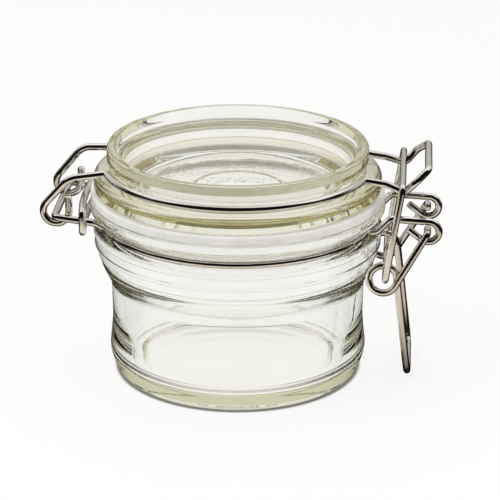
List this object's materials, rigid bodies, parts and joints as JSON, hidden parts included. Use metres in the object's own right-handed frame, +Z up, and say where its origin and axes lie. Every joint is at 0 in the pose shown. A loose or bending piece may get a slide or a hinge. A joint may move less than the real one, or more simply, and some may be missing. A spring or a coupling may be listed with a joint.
{
  "type": "bail clamp jar",
  "caption": "Squat clear glass jar with a dished glass lid, a soft seal, and an over-centre wire clamp with a lift-up lid hinge.",
  "frame": {"origin": "centre of the footprint of the closed jar with its wires, on the surface that the base stands on; the jar's axis stands 2 mm from it, towards the hinge", "axes": "+Z up along the jar's axis, +X from the lid's hinge towards the clamp, +Y to the left of someone who faces the clamp"},
  "size_m": [0.1358, 0.1008, 0.0804],
  "materials": {
    "clear_glass": "clear and polished, with a faint olive tint where it is thick",
    "milky_silicone": "soft, translucent white, satin",
    "bright_wire": "bright drawn stainless wire"
  },
  "bodies": {
    "jar": {"jar_body": "clear_glass", "neck_ring": "bright_wire", "ring_keeper": "bright_wire"},
    "lid": {"lid": "clear_glass", "seal": "milky_silicone", "lid_ring": "bright_wire"},
    "lever": {"clamp_lever": "bright_wire"},
    "link": {"clamp_link": "bright_wire"}
  },
  "joints": [
    {"name": "lid_hinge", "type": "hinge", "parent": "jar", "child": "lid", "pos_m": [-0.0626, 0, 0.0586], "axis": [0, -1, 0], "range_deg": [0, 180]},
    {"name": "lever_pivot", "type": "hinge", "parent": "jar", "child": "lever", "pos_m": [0.0628, 0, 0.0552], "axis": [0, -1, 0], "range_deg": [0, 152]},
    {"name": "link_pivot", "type": "hinge", "parent": "lever", "child": "link", "pos_m": [0.0491, 0, 0.0396], "axis": [0, -1, 0], "range_deg": [-152, 0]}
  ],
  "couplings": [
    {"joint": "link_pivot", "follows": "lever_pivot", "ratio": -1}
  ]
}
